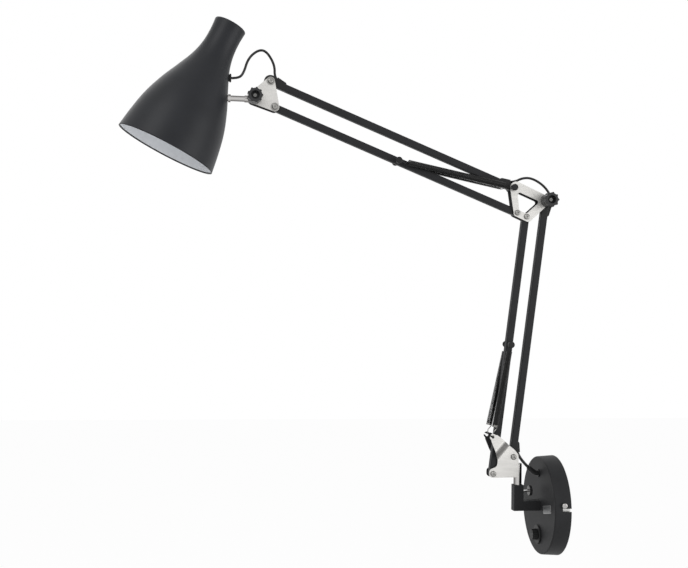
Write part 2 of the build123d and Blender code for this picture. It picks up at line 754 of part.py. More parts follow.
def wall_station(z_wanted):
    """How far down the shade's axis its +Y wall reaches this height, and the wall's radius there."""
    for (s0, r0), (s1, r1) in zip(shade_profile, shade_profile[1:]):
        z0 = shade_cap[1] - s0 * axis_z - r0 * axis_y
        z1 = shade_cap[1] - s1 * axis_z - r1 * axis_y
        if z1 <= z_wanted <= z0:
            share = (z0 - z_wanted) / (z0 - z1)
            return s0 + (s1 - s0) * share, r0 + (r1 - r0) * share
    raise ValueError("the shade's wall doesn't reach this height")


def shade_point(s, r):
    """The (Y, Z) point s down the shade's axis and r towards the arm."""
    return (shade_cap[0] - s * axis_y + r * axis_z, shade_cap[1] - s * axis_z - r * axis_y)


rod_wall = shade_point(*wall_station(rod_z))
grommet_wall = shade_point(*wall_station(grommet_z))

# local x is out from the axis, and the shade hangs down local -y, so its profile turns about local y
profile_plane = Plane(origin=(0, *shade_cap), x_dir=(0, axis_z, -axis_y), z_dir=(1, 0, 0))
shade_axis = Axis(origin=(0, *shade_cap), direction=(0, axis_y, axis_z))

with BuildPart() as shade:
    with BuildSketch(profile_plane) as wall:
        with BuildLine():
            outer_curve = Spline(*[(r, -s) for s, r in shade_profile])
            inner_curve = Spline(*[(r - shade_sheet, -max(s, shade_sheet)) for s, r in shade_profile])
            Line((0, 0), outer_curve @ 0)
            Line((0, 0), (0, -shade_sheet))
            Line((0, -shade_sheet), inner_curve @ 0)
            Line(inner_curve @ 1, outer_curve @ 1)
        make_face()
    revolve(axis=shade_axis)
    cap_edge = shade.edges().filter_by(GeomType.CIRCLE).sort_by_distance(Vector(0, *shade_cap))
    fillet([edge for edge in cap_edge if abs(edge.radius - shade_profile[0][1]) < 0.01][0], shade_cap_edge)
    for place, hole_r in ((rod_wall, rod_r), (grommet_wall, grommet_r - 1.0)):
        with BuildSketch(face_plane(place[0] + 8, z=place[1])) as hole:
            Circle(hole_r + pivot_play)
        extrude(hole.sketch, amount=20, mode=Mode.SUBTRACT)
save(shade, "shade")

rod_inner_end = rod_wall[0] - shade_sheet - rod_nut_h - 3.5
with BuildPart() as head_rod:
    with BuildSketch(side_plane()) as eye:
        with Locations(tilt_pivot):
            Circle(rod_eye_r)
    extrude(eye.sketch, amount=plate_inner - pivot_play, both=True)
    with BuildSketch(face_plane(tilt_pivot[0] - rod_eye_r + 2, z=rod_z)) as rod_section:
        Circle(rod_r)
    extrude(rod_section.sketch, amount=tilt_pivot[0] - rod_eye_r + 2 - rod_inner_end)
    with BuildSketch(face_plane(tilt_pivot[0] - rod_eye_r + 2, z=rod_z)) as neck:
        Circle(rod_neck_r)
    extrude(neck.sketch, amount=rod_neck_reach - rod_eye_r + 2)
    with BuildSketch(side_plane()) as eye_bore:
        with Locations(tilt_pivot):
            Circle(bolt_r + pivot_play)
    extrude(eye_bore.sketch, amount=plate_outer, both=True, mode=Mode.SUBTRACT)
save(head_rod, "head_rod")

with BuildPart() as rod_collar:
    with BuildSketch(face_plane(rod_wall[0] + collar_t + 0.4, z=rod_z)) as collar:
        Circle(collar_r)
        Circle(rod_r + pivot_play, mode=Mode.SUBTRACT)
    extrude(collar.sketch, amount=collar_t)
    chamfer(rod_collar.edges().filter_by(GeomType.CIRCLE).sort_by(Axis.Y)[-1:], 0.5)
save(rod_collar, "rod_collar")

with BuildPart() as rod_nut:
    with BuildSketch(face_plane(rod_wall[0] - shade_sheet - 1.0, z=rod_z)) as nut_section:
        RegularPolygon(rod_nut_flats / 2, 6, major_radius=False)
        Circle(rod_r + pivot_play, mode=Mode.SUBTRACT)
    extrude(nut_section.sketch, amount=rod_nut_h)
save(rod_nut, "rod_nut")

with BuildPart() as grommet:
    with BuildSketch(face_plane(grommet_wall[0] + 3.0, z=grommet_z)) as lip:
        Circle(grommet_r)
    extrude(lip.sketch, amount=2.2)
    fillet(grommet.edges().sort_by(Axis.Y)[-1], 0.8)
    with BuildSketch(face_plane(grommet_wall[0] + 1.0, z=grommet_z)) as barrel:
        Circle(grommet_r - 1.0)
    extrude(barrel.sketch, amount=5.0)
    with BuildSketch(face_plane(grommet_wall[0] + 5.0, z=grommet_z)) as cord_hole:
        Circle(cord_r)
    extrude(cord_hole.sketch, amount=12.0, mode=Mode.SUBTRACT)
save(grommet, "grommet")

holder_end = holder_start + holder_cap_length + holder_skirt
bore_floor = holder_end - holder_bore
axis_at_grommet = shade_cap[0] - (shade_cap[1] - grommet_z) * tan(radians(shade_tilt))
holder_entry = axis_at_grommet + holder_cap_r / cos(radians(shade_tilt)) + 2.0
holder_entry_depth = 6.0
with BuildPart() as lamp_holder:
    with BuildSketch(profile_plane) as holder_half:
        with BuildLine():
            Polyline((0, -holder_start), (holder_cap_r - 3, -holder_start),
                     (holder_cap_r, -holder_start - 3),
                     (holder_cap_r, -holder_start - holder_cap_length),
                     (holder_skirt_r, -holder_start - holder_cap_length - 2), (holder_skirt_r, -holder_end),
                     (holder_bore_r, -holder_end), (holder_bore_r, -bore_floor),
                     (well_r, -bore_floor), (well_r, -bore_floor + well_depth), (0, -bore_floor + well_depth),
                     close=True)
        make_face()
    revolve(axis=shade_axis)
    with BuildSketch(face_plane(holder_entry, z=grommet_z)) as entry:
        Circle(cord_r + cord_room)
    extrude(entry.sketch, amount=holder_entry_depth, mode=Mode.SUBTRACT)
save(lamp_holder, "lamp_holder")

with BuildPart() as holder_contact:
    floor = -bore_floor + well_depth
    with BuildSketch(profile_plane.offset(-contact_width / 2)) as contact_side:
        with BuildLine():
            Polyline((-well_r + 1, floor), (-well_r + 1, floor - contact_t), (-2, floor - contact_t),
                     (well_r - 2, floor - contact_rise), (well_r - 1, floor - contact_rise + 0.3),
                     (-1, floor), close=True)
        make_face()
    extrude(contact_side.sketch, amount=contact_width)
save(holder_contact, "holder_contact")

with BuildPart() as holder_nipple:
    with BuildSketch(profile_plane) as nipple_half:
        with Locations(((nipple_r + nipple_bore_r) / 2, -(shade_sheet + holder_start) / 2)):
            Rectangle(nipple_r - nipple_bore_r, holder_start - shade_sheet)
    revolve(axis=shade_axis)
save(holder_nipple, "holder_nipple")


# ---------------------------------------------------------------- cord
def cord_length(name, points, limit=None):
    """One stretch of the cord, with its radii and a check of its volume printed."""
    radii = corner_radii(points, limit)
    with BuildPart() as stretch:
        path = swept_round(points, radii, cord_r)
    share = stretch.part.volume / (pi * cord_r**2 * path.length)
    print(name, "radii", [round(radius, 1) for radius in radii], "length", round(path.length, 1),
          "volume over section times length", round(share, 4))
    save(stretch, name)


def hood_exit(p, q, facing, out=0.0):
    """The (Y, Z) point on the cord's line at the hood's mouth, or this far out of it."""
    plane = bar_plane(p, q, facing)
    slope = Vector(hood_end - hood_mouth, cord_sink - cord_rise, 0).normalized()
    spot = plane.from_local_coords(Vector(hood_mouth, cord_rise, 0) - slope * out)
    return (spot.Y, spot.Z)


def inner_run(p, q):
    """The cord's points inside the bar from p to q, hood mouth to hood mouth."""
    plane = bar_plane(p, q)
    length = distance(p, q)
    spots = [plane.from_local_coords(Vector(x, y, 0))
             for x, y in ((hood_mouth, cord_rise), (hood_end, cord_sink), (length - hood_end, cord_sink),
                          (length - hood_mouth, cord_rise))]
    return [(spot.Y, spot.Z) for spot in spots]


base_bend = hood_exit(lower_rear_pivot, mid_rear_pivot, -1, 10.0)
boot_corner = (face_y - 6.1, inlet_z)
boot_mouth = along(base_bend, boot_corner, 0.6)
cord_length("lower_rear_cord", inner_run(mid_rear_pivot, lower_rear_pivot), inner_bend)
cord_length("upper_top_cord", inner_run(head_top_pivot, mid_top_pivot), inner_bend)
cord_length("base_cord_loop", [hood_exit(lower_rear_pivot, mid_rear_pivot, -1), base_bend, boot_mouth])
cord_length("mid_cord_loop", [hood_exit(mid_top_pivot, head_top_pivot, -1),
                              hood_exit(mid_top_pivot, head_top_pivot, -1, 8.0), (-52.0, 472.8),
                              (-38.0, 473.0), (-21.0, 463.8), (-10.0, 450.5),
                              hood_exit(mid_rear_pivot, lower_rear_pivot, 1, 9.0),
                              hood_exit(mid_rear_pivot, lower_rear_pivot, 1)])
cord_length("head_cord_loop", [hood_exit(head_top_pivot, mid_top_pivot, 1),
                               hood_exit(head_top_pivot, mid_top_pivot, 1, 4.7), (-414.6, 619.8),
                               (-426.3, 638.6), (-437.9, 639.8), (-451.9, 627.2), (-457.8, 606.0),
                               (-465.1, grommet_z), (grommet_wall[0] + 3.0, grommet_z)])
with BuildPart() as shade_cord:
    cord_start = grommet_wall[0] + 3.0
    with BuildSketch(face_plane(cord_start, z=grommet_z)) as shade_cord_section:
        Circle(cord_r)
    extrude(shade_cord_section.sketch, amount=cord_start - holder_entry + holder_entry_depth - 0.5)
save(shade_cord, "shade_cord")
inlet_points = [boot_mouth, boot_corner, (face_y + 8.9, inlet_z), (-7.4, inlet_z - 7.5),
                (-6.2, 24.0), (-6.2, terminal_size[2] / 2)]
cord_length("inlet_cord", inlet_points)

with BuildPart() as strain_relief:
    boot_points = [boot_mouth, boot_corner, (face_y, inlet_z)]
    boot_radius = [corner_radii(inlet_points)[0]]
    swept_round(boot_points, boot_radius, inlet_r)
    with BuildSketch(face_plane(face_y, z=inlet_z)) as boot_flange:
        Circle(inlet_flange_r)
    extrude(boot_flange.sketch, amount=1.6)
    with BuildSketch(face_plane(face_y, z=inlet_z)) as boot_neck:
        Circle(inlet_neck_r)
    extrude(boot_neck.sketch, amount=-canopy_sheet - 2.0)
    with BuildSketch(face_plane(face_y + canopy_sheet, z=inlet_z)) as boot_snap:
        Circle(inlet_r)
    extrude(boot_snap.sketch, amount=-2.0)
    swept_round(boot_points[:2] + [(face_y + canopy_sheet + 4.0, inlet_z)], boot_radius, cord_r, Mode.SUBTRACT)
save(strain_relief, "strain_relief")


# ---------------------------------------------------------------- springs
def biarc(start, end):
    """Two tangent arcs between two (point, direction) pairs, or one line where they are in line."""
    (p0, t0), (p1, t1) = start, end
    gap = p1 - p0
    if gap.cross(t0).length < 1e-6 * gap.length and t0.dot(t1) > 1 - 1e-9:
        Line(p0, p1)
        return
    both = t0 + t1
    spread = 2 * (1 - t0.dot(t1))
    if spread < 1e-9:
        reach = gap.dot(gap) / (4 * gap.dot(t1))
    else:
        reach = (-gap.dot(both) + sqrt(gap.dot(both) ** 2 + spread * gap.dot(gap))) / spread
    meeting = (p0 + t0 * reach + p1 - t1 * reach) * 0.5
    way = (p1 - t1 * reach - p0 - t0 * reach).normalized()
    TangentArc(p0, meeting, tangent=t0)
    TangentArc(meeting, p1, tangent=way)


def loop_stations(centre, ahead, aside, loop_r, start_angle, lead):
    """An end loop about a centre, from its free tip round to the spring's own axis."""
    stations = []
    steps = 4
    for step in range(steps + 1):
        turn = radians(start_angle + (300 - start_angle) * step / steps)
        stations.append((centre + ahead * (loop_r * cos(turn)) + aside * (loop_r * sin(turn)),
                         aside * cos(turn) - ahead * sin(turn)))
    stations.append((centre + ahead * lead, ahead))
    return stations


def pin_loop(at, ahead):
    """The loop round a cross pin, which lies along X."""
    loop_r = pin_r + wire_clearance + spring_wire / 2
    return loop_stations(at, ahead, ahead.cross(Vector(1, 0, 0)).normalized(), loop_r, 60, loop_r + 2.2)


def plate_loop(at, ahead, side):
    """The loop through a plate's hook hole and over its rim, seen from above the plate's edge."""
    rim = hook_ring_r - hook_hole_r
    centre = at + ahead * (hook_hole_r + rim / 2)
    outward = (Vector(side, 0, 0) - ahead * ahead.X * side).normalized()
    loop_r = sqrt(rim**2 + sheet**2) / 2 + wire_clearance + spring_wire / 2
    return loop_stations(centre, ahead, outward, loop_r, 120, loop_r + 2.2)


def coil_stations(start, axis, curls, body):
    """Half-turn stations of the coil, which starts at a point on the spring's axis."""
    out = axis.cross(Vector(1, 0, 0)).normalized()
    across = axis.cross(out)
    coil_r = (spring_od - spring_wire) / 2
    pitch = body / curls
    stations = []
    for half_turn in range(2 * curls + 1):
        turn = pi * half_turn
        ring = out * cos(turn) + across * sin(turn)
        way = (across * cos(turn) - out * sin(turn)) * (2 * pi * coil_r) + axis * pitch
        stations.append((start + axis * (pitch * half_turn / 2) + ring * coil_r, way.normalized()))
    return stations


def least_gap(stations_path, samples_per_edge=6):
    """The least clear distance between two stretches of the wire that aren't next to each other."""
    spots = []
    run = 0.0
    for edge in stations_path.edges():
        for sample in range(samples_per_edge):
            spot = edge.position_at(sample / samples_per_edge)
            spots.append((run + edge.length * sample / samples_per_edge, spot.X, spot.Y, spot.Z))
        run += edge.length
    least = float("inf")
    for index, (s0, x0, y0, z0) in enumerate(spots):
        for s1, x1, y1, z1 in spots[index + 1:]:
            if s1 - s0 > 3.5 * spring_wire:
                apart = (x1 - x0) ** 2 + (y1 - y0) ** 2 + (z1 - z0) ** 2
                least = min(least, apart)
    return sqrt(least) - spring_wire


def spring(name, start, start_loop, end, end_loop, curls, body, lead_share):
    """One tension spring: a loop, a straight lead, the coil, a lead and a loop, all one wire."""
    axis = (end - start).normalized()
    span = (end - start).length
    lead = lead_share * (span - body)
    first = start_loop(start, axis)
    last = [(spot, way * -1) for spot, way in reversed(end_loop(end, axis * -1))]
    stations = first + coil_stations(start + axis * lead, axis, curls, body) + last
    with BuildPart() as coil:
        with BuildLine() as wire_line:
            for station, following in zip(stations, stations[1:]):
                biarc(station, following)
        path = wire_line.wire()
        with BuildSketch(Plane(origin=path @ 0, z_dir=path % 0)) as section:
            RegularPolygon(spring_wire / 2, spring_sides)
        sweep(section.sketch, path=path, clean=False)
    share = coil.part.volume / (section.sketch.area * path.length)
    print(name, "least gap to itself", round(least_gap(path), 2), "wire", round(path.length, 1),
          "volume over section times length", round(share, 4))
    save(coil, name)


for side_name, side in NEAR_FAR:
    hook_point = Vector(side * spring_hook_x, *hook_centre)
    lower_pin_point = Vector(side * spring_pin_x, *lower_pin)
    spring(f"lower_spring_{side_name}", hook_point, lambda at, ahead: plate_loop(at, ahead, side),
           lower_pin_point, pin_loop, lower_curls, lower_body,
           lower_lead_share)
    spring(f"upper_spring_{side_name}", Vector(side * spring_pin_x, *upper_pin), pin_loop,
           Vector(side * spring_pin_x, *mid_top_pivot), pin_loop, upper_curls, upper_body,
           upper_lead_share)
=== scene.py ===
"""Articulating wall lamp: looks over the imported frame. Metres, in the frame of the CAD model.

Sizes from the shade on are in millimetres, as the CAD's are, apart from SHADE_CAP, CORD_R and BASE_CORD_R.
"""

import json
from math import asin, cos, pi, radians, sin

import bmesh
import bpy
from mathutils import Euler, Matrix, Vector


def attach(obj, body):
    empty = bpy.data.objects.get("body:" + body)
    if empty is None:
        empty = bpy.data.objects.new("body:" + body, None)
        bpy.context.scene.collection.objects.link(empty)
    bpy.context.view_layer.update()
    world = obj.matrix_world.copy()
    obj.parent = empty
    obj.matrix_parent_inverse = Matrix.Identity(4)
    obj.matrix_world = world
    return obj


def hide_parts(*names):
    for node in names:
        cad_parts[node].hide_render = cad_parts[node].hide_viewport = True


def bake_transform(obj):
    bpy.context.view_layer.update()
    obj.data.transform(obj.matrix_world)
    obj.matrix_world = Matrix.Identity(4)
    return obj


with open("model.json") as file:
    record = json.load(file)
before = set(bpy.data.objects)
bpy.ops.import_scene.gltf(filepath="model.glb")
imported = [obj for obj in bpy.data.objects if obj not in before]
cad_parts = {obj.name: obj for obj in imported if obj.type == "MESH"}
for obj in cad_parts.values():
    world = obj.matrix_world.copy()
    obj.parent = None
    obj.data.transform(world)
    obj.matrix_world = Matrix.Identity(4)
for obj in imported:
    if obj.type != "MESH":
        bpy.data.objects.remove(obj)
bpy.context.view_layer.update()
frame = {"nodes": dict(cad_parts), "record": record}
scene = bpy.context.scene
scene.view_settings.view_transform = "Standard"
MM = 0.001

# ---------------------------------------------------------------- camera, light and floor
camera_data = bpy.data.cameras.new("camera")
camera_data.sensor_width = 36.0
camera_data.lens = 56.86
camera_data.clip_end = 30.0
camera = bpy.data.objects.new("camera", camera_data)
camera.location = (1.51108, -0.55737, 0.28217)
camera.rotation_euler = Euler((radians(91.2161), radians(-0.7611), radians(80.7676)), "XYZ")
scene.collection.objects.link(camera)
scene.camera = camera


def area_light(name, place, target, size, power):
    """A soft square light that faces its target."""
    data = bpy.data.lights.new(name, "AREA")
    data.size = size
    data.energy = power
    lamp = bpy.data.objects.new(name, data)
    lamp.location = place
    lamp.rotation_euler = (Vector(target) - Vector(place)).to_track_quat("-Z", "Y").to_euler()
    scene.collection.objects.link(lamp)
    return lamp


LAMP_MIDDLE = (0, -0.3, 0.3)
area_light("key", (1.4, -1.6, 1.7), LAMP_MIDDLE, 1.2, 18)
area_light("fill", (1.3, 1.6, 0.1), LAMP_MIDDLE, 1.6, 26)
area_light("rim", (-1.2, -0.6, 1.4), LAMP_MIDDLE, 1.4, 6)


def nodes_of(owner):
    """The emptied node tree of a material or world."""
    owner.use_nodes = True
    tree = owner.node_tree
    tree.nodes.clear()
    return tree


def link(tree, a, b):
    tree.links.new(a, b)


def seen_directly(tree):
    """A socket that is 1 for the camera's rays and for those seen in mirrors or through glass, else 0."""
    path = tree.nodes.new("ShaderNodeLightPath")
    either = tree.nodes.new("ShaderNodeMath")
    either.operation = "MAXIMUM"
    link(tree, path.outputs["Is Camera Ray"], either.inputs[0])
    link(tree, path.outputs["Is Glossy Ray"], either.inputs[1])
    any_ray = tree.nodes.new("ShaderNodeMath")
    any_ray.operation = "MAXIMUM"
    link(tree, either.outputs[0], any_ray.inputs[0])
    link(tree, path.outputs["Is Transmission Ray"], any_ray.inputs[1])
    return any_ray.outputs[0]


WORLD_LIGHT = 0.62
world = bpy.data.worlds.new("studio")
scene.world = world
tree = nodes_of(world)
soft = tree.nodes.new("ShaderNodeBackground")
soft.inputs["Color"].default_value = (1, 1, 1, 1)
soft.inputs["Strength"].default_value = WORLD_LIGHT
white = tree.nodes.new("ShaderNodeBackground")
white.inputs["Color"].default_value = (1, 1, 1, 1)
white.inputs["Strength"].default_value = 1.0
choice = tree.nodes.new("ShaderNodeMixShader")
link(tree, seen_directly(tree), choice.inputs[0])
link(tree, soft.outputs[0], choice.inputs[1])
link(tree, white.outputs[0], choice.inputs[2])
out = tree.nodes.new("ShaderNodeOutputWorld")
link(tree, choice.outputs[0], out.inputs["Surface"])

FLOOR_Z = -0.5
FLOOR_HALF = 6
FLOOR_WHITE = 0.96
floor_mesh = bpy.data.meshes.new("floor")
floor_corners = [(x * FLOOR_HALF, y * FLOOR_HALF, FLOOR_Z) for x, y in ((-1, -1), (1, -1), (1, 1), (-1, 1))]
floor_mesh.from_pydata(floor_corners, [], [(0, 1, 2, 3)])
floor = bpy.data.objects.new("floor", floor_mesh)
scene.collection.objects.link(floor)
pale = bpy.data.materials.new("pale_floor")
tree = nodes_of(pale)
matte = tree.nodes.new("ShaderNodeBsdfDiffuse")
matte.inputs["Color"].default_value = (0.82, 0.82, 0.82, 1)
glow = tree.nodes.new("ShaderNodeEmission")
glow.inputs["Strength"].default_value = 1.0
share = tree.nodes.new("ShaderNodeMath")
share.operation = "MULTIPLY"
share.inputs[1].default_value = FLOOR_WHITE
link(tree, seen_directly(tree), share.inputs[0])
mixed = tree.nodes.new("ShaderNodeMixShader")
link(tree, share.outputs[0], mixed.inputs[0])
link(tree, matte.outputs[0], mixed.inputs[1])
link(tree, glow.outputs[0], mixed.inputs[2])
out = tree.nodes.new("ShaderNodeOutputMaterial")
link(tree, mixed.outputs[0], out.inputs["Surface"])
floor_mesh.materials.append(pale)


# ---------------------------------------------------------------- materials
def colour_ramp(tree, stops):
    """A ramp through (position, colour) stops."""
    ramp = tree.nodes.new("ShaderNodeValToRGB")
    elements = ramp.color_ramp.elements
    elements[0].position, elements[0].color = stops[0][0], (*stops[0][1], 1)
    elements[1].position, elements[1].color = stops[-1][0], (*stops[-1][1], 1)
    for position, colour in stops[1:-1]:
        elements.new(position).color = (*colour, 1)
    return ramp


def noise(tree, scale, detail=4.0, stretch=(1, 1, 1)):
    """Object-space noise whose scale is in spots per metre."""
    where = tree.nodes.new("ShaderNodeTexCoord")
    place = tree.nodes.new("ShaderNodeMapping")
    place.inputs["Scale"].default_value = stretch
    link(tree, where.outputs["Object"], place.inputs["Vector"])
    spots = tree.nodes.new("ShaderNodeTexNoise")
    spots.inputs["Scale"].default_value = scale
    spots.inputs["Detail"].default_value = detail
    link(tree, place.outputs[0], spots.inputs["Vector"])
    return spots


def surface(name, colour, spread=0.12, roughness=0.45, rough_spread=0.06, metallic=0.0, specular=0.5,
            grain=900.0, bump=0.02, blotch=60.0, stretch=(1, 1, 1), painted_edge_shade=None, edge_blend=0.35,
            mask=None, under=None):
    """A worked surface: blotched colour, uneven gloss and a fine grain in its bump.

    mask: (coordinate, axis, low, high), which shows the under colour, unpolished, below low.
    """
    material = bpy.data.materials.new(name)
    tree = nodes_of(material)
    shader = tree.nodes.new("ShaderNodeBsdfPrincipled")
    shader.inputs["Metallic"].default_value = metallic
    shader.inputs["Specular IOR Level"].default_value = specular
    patches = noise(tree, blotch, stretch=stretch)
    low = tuple(max(0.0, c * (1 - spread)) for c in colour)
    high = tuple(min(1.0, c * (1 + spread)) for c in colour)
    tint = colour_ramp(tree, [(0.3, low), (0.7, high)])
    link(tree, patches.outputs["Fac"], tint.inputs["Fac"])
    shade_out = tint.outputs["Color"]
    # Painted shade and painted reflection: the colour turns to the given dark colour where the surface turns away
    # from the view, by Layer Weight's Facing.
    if painted_edge_shade:
        rim = tree.nodes.new("ShaderNodeLayerWeight")
        rim.inputs["Blend"].default_value = edge_blend
        mix = tree.nodes.new("ShaderNodeMixRGB")
        mix.inputs["Color2"].default_value = (*painted_edge_shade, 1)
        link(tree, rim.outputs["Facing"], mix.inputs["Fac"])
        link(tree, shade_out, mix.inputs["Color1"])
        shade_out = mix.outputs["Color"]
    if mask:
        coordinate, axis, low_end, high_end = mask
        where = tree.nodes.new("ShaderNodeTexCoord")
        axes = tree.nodes.new("ShaderNodeSeparateXYZ")
        link(tree, where.outputs[coordinate], axes.inputs[0])
        shown = tree.nodes.new("ShaderNodeMapRange")
        shown.inputs["From Min"].default_value = low_end
        shown.inputs["From Max"].default_value = high_end
        link(tree, axes.outputs[axis], shown.inputs["Value"])
        cover = tree.nodes.new("ShaderNodeMixRGB")
        cover.inputs["Color1"].default_value = (*under, 1)
        link(tree, shown.outputs["Result"], cover.inputs["Fac"])
        link(tree, shade_out, cover.inputs["Color2"])
        shade_out = cover.outputs["Color"]
        polish = tree.nodes.new("ShaderNodeMath")
        polish.operation = "MULTIPLY"
        polish.inputs[1].default_value = metallic
        link(tree, shown.outputs["Result"], polish.inputs[0])
        link(tree, polish.outputs[0], shader.inputs["Metallic"])
    link(tree, shade_out, shader.inputs["Base Color"])
    fine = noise(tree, grain, detail=3.0, stretch=stretch)
    gloss = tree.nodes.new("ShaderNodeMapRange")
    gloss.inputs["To Min"].default_value = roughness - rough_spread
    gloss.inputs["To Max"].default_value = roughness + rough_spread
    link(tree, fine.outputs["Fac"], gloss.inputs["Value"])
    link(tree, gloss.outputs["Result"], shader.inputs["Roughness"])
    relief = tree.nodes.new("ShaderNodeBump")
    relief.inputs["Strength"].default_value = 0.35
    relief.inputs["Distance"].default_value = bump * MM
    link(tree, fine.outputs["Fac"], relief.inputs["Height"])
    link(tree, relief.outputs["Normal"], shader.inputs["Normal"])
    end = tree.nodes.new("ShaderNodeOutputMaterial")
    link(tree, shader.outputs[0], end.inputs["Surface"])
    return material


def grey(value):
    """A slightly bluish grey."""
    return (value, value * 1.01, value * 1.04)


# Near black: the thumb screw's real black disc, and the painted shade on the plates' inner faces and cut edges.
DARK = (0.012, 0.012, 0.013)
# Chrome's dark edge colour is a painted dark reflection at its grazing edges.
CHROME = {"spread": 0.03, "roughness": 0.14, "rough_spread": 0.03, "metallic": 1.0, "bump": 0.004,
          "painted_edge_shade": (0.05, 0.042, 0.038), "edge_blend": 0.85}


def plate_steel(name, side):
    """Satin sheet with painted shade: its cut edges and inner faces, towards the gap between the plates, are
    painted dark and unpolished, and its grazing edges get painted edge shade. side: +1 near, -1 far.
    """
    return surface(name, (0.6, 0.59, 0.57), spread=0.06, roughness=0.42, metallic=0.85, grain=500, bump=0.012,
                   stretch=(1, 1, 5), painted_edge_shade=(0.16, 0.155, 0.15), edge_blend=0.3,
                   mask=("Normal", "X", 0.35 * side, 0.6 * side), under=DARK)


LOOKS = {
    "black_paint": surface("black_paint", (0.015, 0.0153, 0.0166), roughness=0.55, grain=1400, bump=0.03,
                           specular=0.18),
    "shade_paint": surface("shade_paint", (0.0145, 0.0156, 0.0184), roughness=0.46, grain=1600, bump=0.03,
                           blotch=25, specular=0.2),
    "plate_near": plate_steel("plate_near", 1),
    "plate_far": plate_steel("plate_far", -1),
    # The fasteners' dark edge colour is painted shade at their grazing edges.
    "fasteners": surface("fasteners", (0.34, 0.335, 0.32), roughness=0.3, metallic=1.0, bump=0.01,
                         painted_edge_shade=(0.02, 0.02, 0.02), edge_blend=0.7),
    # Knob bolt ends: darker steel as painted shade of the wells in the knob crowns where they sit.
    "well_shaded_bolt_end": surface("well_shaded_bolt_end", (0.16, 0.16, 0.155), roughness=0.35, metallic=1.0, bump=0.01),
    "chrome": surface("chrome", (0.56, 0.55, 0.54), **CHROME),
    "thumb": surface("thumb", (0.74, 0.74, 0.74), mask=("Object", "Y", -0.0384, -0.0386), under=DARK, **CHROME),
    "strap_steel": surface("strap_steel", (0.5, 0.5, 0.49), roughness=0.38, metallic=1.0, bump=0.02),
    "black_plastic": surface("black_plastic", grey(0.011), roughness=0.45, grain=1200, bump=0.02, specular=0.22),
    "knob_plastic": surface("knob_plastic", grey(0.026), roughness=0.4, grain=900, bump=0.01, specular=0.25),
    "holder_plastic": surface("holder_plastic", grey(0.012), roughness=0.25, grain=700, bump=0.01),
    "terminal_plastic": surface("terminal_plastic", (0.68, 0.68, 0.64), roughness=0.4),
    "cord": surface("cord", grey(0.006), roughness=0.4, grain=1500, bump=0.015, specular=0.3),
    "spring_steel": surface("spring_steel", grey(0.005), roughness=0.36, grain=900, bump=0.01, specular=0.3),
    "brass": surface("brass", (0.65, 0.48, 0.24), roughness=0.3, metallic=1.0),
    "shade_inside": surface("shade_inside", (0.82, 0.84, 0.87), spread=0.04, roughness=0.42, blotch=20,
                            grain=1200, bump=0.02),
    "label_edge": surface("label_edge", (0.30, 0.30, 0.30), roughness=0.35, metallic=0.6, bump=0.01),
    "label_grey": surface("label_grey", (0.12, 0.122, 0.125), spread=0.08, roughness=0.35, grain=1000, bump=0.01,
                          metallic=0.4),
}
NODE_LOOKS = {"thumb_screw": "thumb", "mid_knob_bolt": "well_shaded_bolt_end", "head_knob_bolt": "well_shaded_bolt_end"}
for plate in ("lower_plate", "mid_plate", "head_plate"):
    NODE_LOOKS[f"{plate}_near"] = "plate_near"
    NODE_LOOKS[f"{plate}_far"] = "plate_far"

slots = {entry["node"]: entry["material_slot"] for entry in frame["record"]["subparts"]}
for node, obj in frame["nodes"].items():
    obj.data.materials.clear()
    obj.data.materials.append(LOOKS[NODE_LOOKS.get(node, slots[node])])


# ---------------------------------------------------------------- mesh helpers
def piece(name, mesh, look, body=None, smooth=True):
    """Links a finished mesh as a piece of the lamp."""
    obj = bpy.data.objects.new(name, mesh)
    scene.collection.objects.link(obj)
    if look:
        mesh.materials.append(LOOKS[look])
    if smooth:
        for face in mesh.polygons:
            face.use_smooth = True
    if body:
        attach(obj, body)
    return obj


def tube_mesh(name, points, radius, sides):
    """A round tube round a line of close points, carried along without twist."""
    points = [Vector(p) for p in points]
    ways = []
    for index in range(len(points)):
        before = points[max(index - 1, 0)]
        after = points[min(index + 1, len(points) - 1)]
        ways.append((after - before).normalized())
    across = ways[0].orthogonal().normalized()
    rings = []
    for point, way in zip(points, ways):
        across = (across - way * across.dot(way)).normalized()
        up = way.cross(across)
        rings.append([point + across * (radius * cos(2 * pi * k / sides)) + up * (radius * sin(2 * pi * k / sides))
                      for k in range(sides)])
    verts = [v for ring in rings for v in ring]
    faces = []
    for row in range(len(rings) - 1):
        for k in range(sides):
            a = row * sides + k
            b = row * sides + (k + 1) % sides
            faces.append((a, b, b + sides, a + sides))
    faces.append(tuple(reversed(range(sides))))
    faces.append(tuple(range(len(verts) - sides, len(verts))))
    mesh = bpy.data.meshes.new(name)
    mesh.from_pydata(verts, [], faces)
    mesh.update()
    return mesh


def nurbs_line(name, control):
    """The points of a smooth open spline with these control points, as Blender draws it."""
    curve = bpy.data.curves.new(name, "CURVE")
    curve.dimensions = "3D"
    spline = curve.splines.new("NURBS")
    spline.points.add(len(control) - 1)
    for knot, point in zip(spline.points, control):
        knot.co = (*point, 1)
    spline.order_u = 3
    spline.use_endpoint_u = True
    spline.resolution_u = 14
    holder = bpy.data.objects.new(name, curve)
    line = bpy.data.meshes.new_from_object(holder)
    points = [vertex.co.copy() for vertex in line.vertices]
    bpy.data.objects.remove(holder)
    bpy.data.curves.remove(curve)
    bpy.data.meshes.remove(line)
    return points


